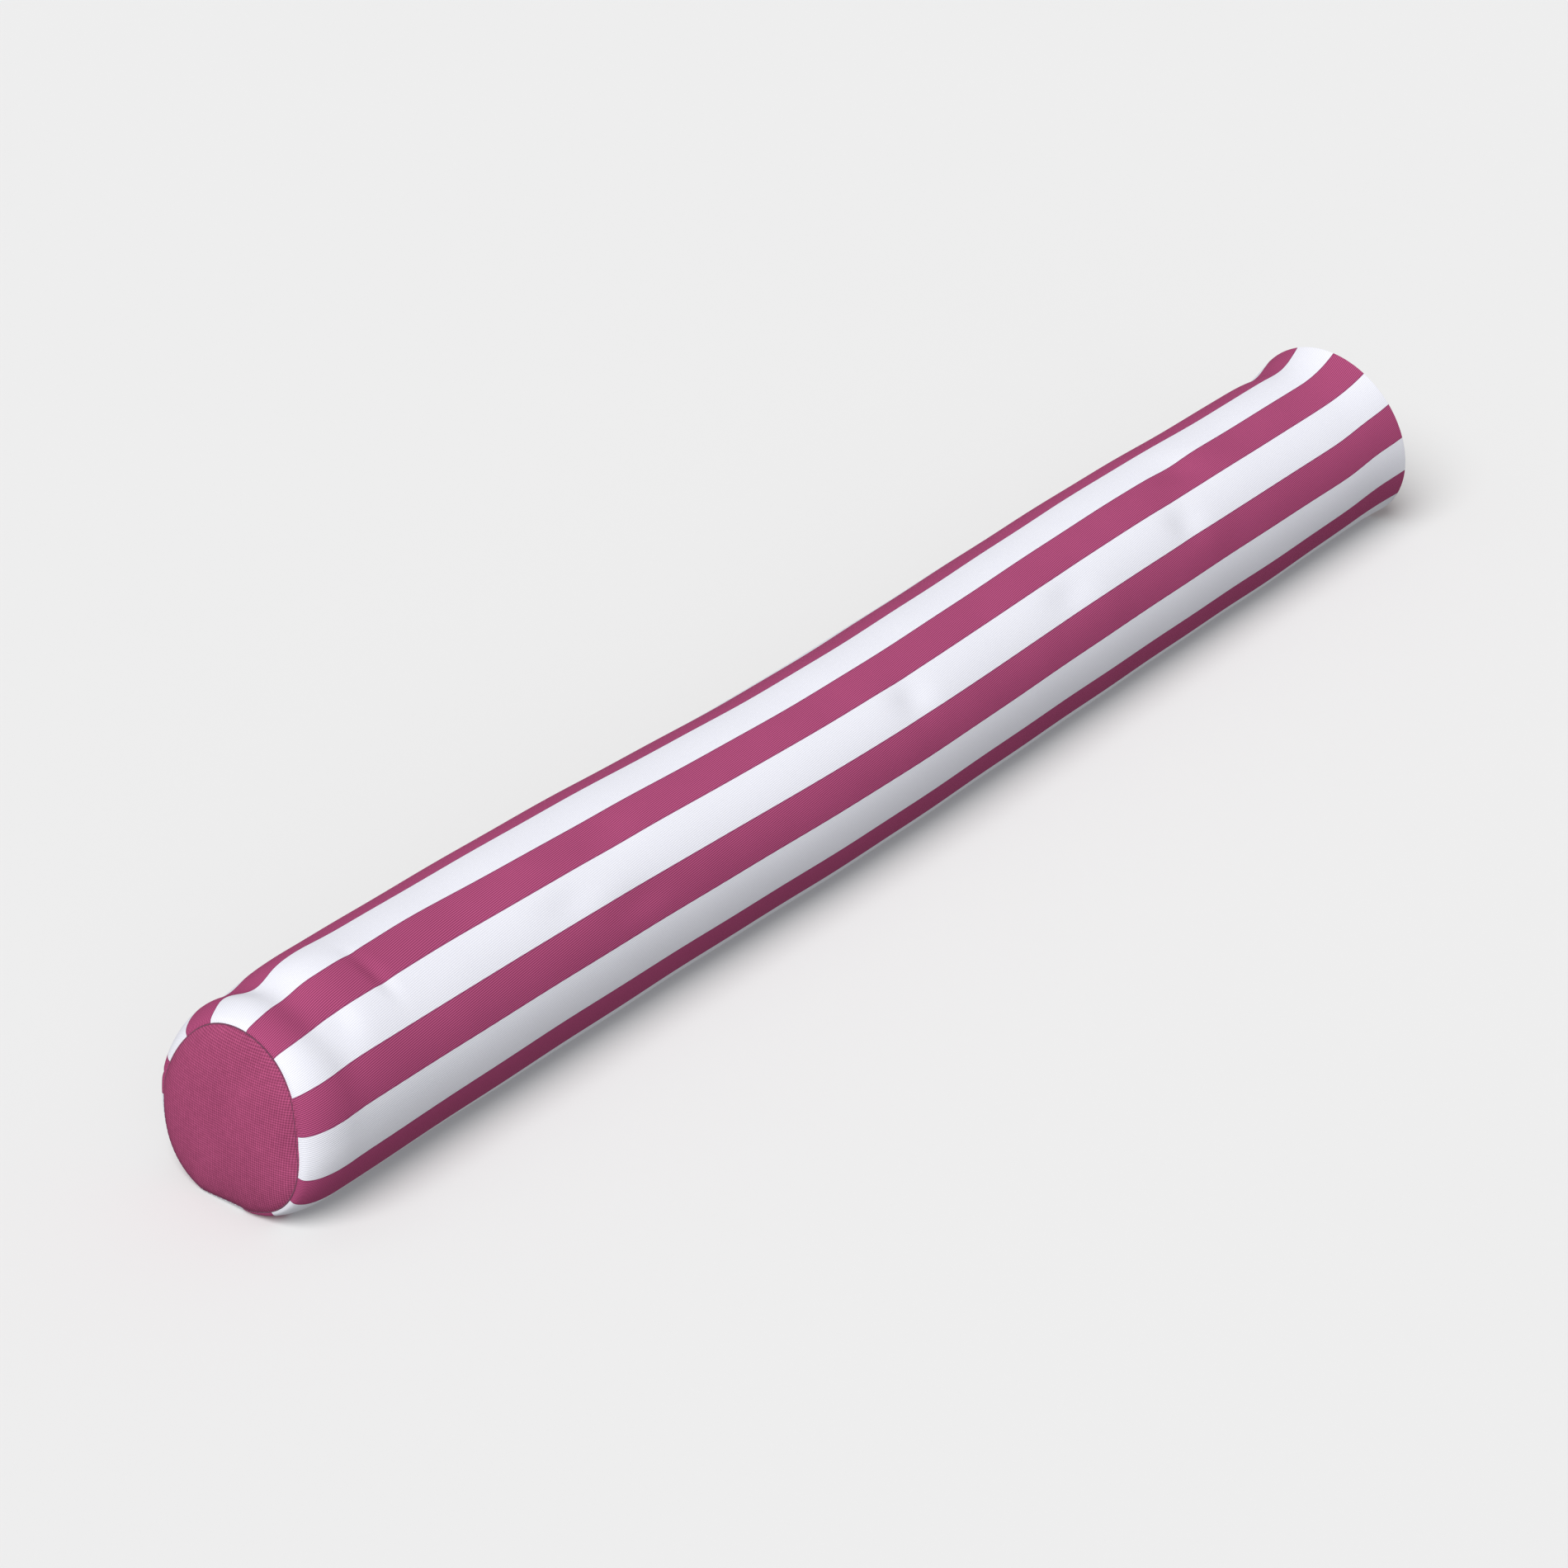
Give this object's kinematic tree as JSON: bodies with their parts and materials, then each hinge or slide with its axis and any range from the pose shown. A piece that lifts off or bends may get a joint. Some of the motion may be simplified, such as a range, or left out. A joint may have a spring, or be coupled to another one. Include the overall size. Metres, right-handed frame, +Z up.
{
  "type": "foam roller",
  "caption": "Long slim foam roller with a padded, removable cloth cover striped along its length, plain round end panels and a zip along the back.",
  "frame": {"origin": "middle of the flat that the roller rests on, on the floor, midway along its length", "axes": "+X along the roller from its left end to its right end, +Y to its back, where the zip is, +Z up"},
  "size_m": [0.921, 0.1119, 0.0942],
  "materials": {
    "striped_cloth": "woven, lengthwise magenta and white stripes",
    "plain_cloth": "woven, plain magenta",
    "thread": "polyester sewing thread",
    "inner_case": "plain calico",
    "wadding": "polyester wadding",
    "foam": "closed-cell foam, matte",
    "zip_tape": "woven polyester tape",
    "zip_teeth": "nylon coil, satin",
    "zip_metal": "nickel plated, satin"
  },
  "bodies": {
    "roller": {"foam_core": "foam", "wadding_wrap": "wadding", "inner_case_tube": "inner_case", "inner_case_end_left": "inner_case", "inner_case_end_right": "inner_case", "end_pad_left": "wadding", "end_pad_right": "wadding", "cover_tube": "striped_cloth", "end_panel_left": "plain_cloth", "end_panel_right": "plain_cloth", "end_seam_thread_left": "thread", "end_seam_thread_right": "thread", "zip_tape_upper": "zip_tape", "zip_tape_lower": "zip_tape", "zip_teeth_upper": "zip_teeth", "zip_teeth_lower": "zip_teeth", "zip_top_stop_upper": "zip_metal", "zip_top_stop_lower": "zip_metal", "zip_bottom_stop": "zip_metal", "zip_stitching_upper": "thread", "zip_stitching_lower": "thread"},
    "slider": {"zip_slider": "zip_metal"},
    "pull": {"zip_pull": "zip_metal"}
  },
  "joints": [
    {"name": "zip_slide", "type": "slide", "parent": "roller", "child": "slider", "axis": [1, 0, 0], "range_m": [-0.579, 0]},
    {"name": "pull_swing", "type": "hinge", "parent": "slider", "child": "pull", "pos_m": [0.2895, 0.05649, 0.04925], "axis": [0, 0.0679, -0.9977], "range_deg": [0, 170]}
  ]
}
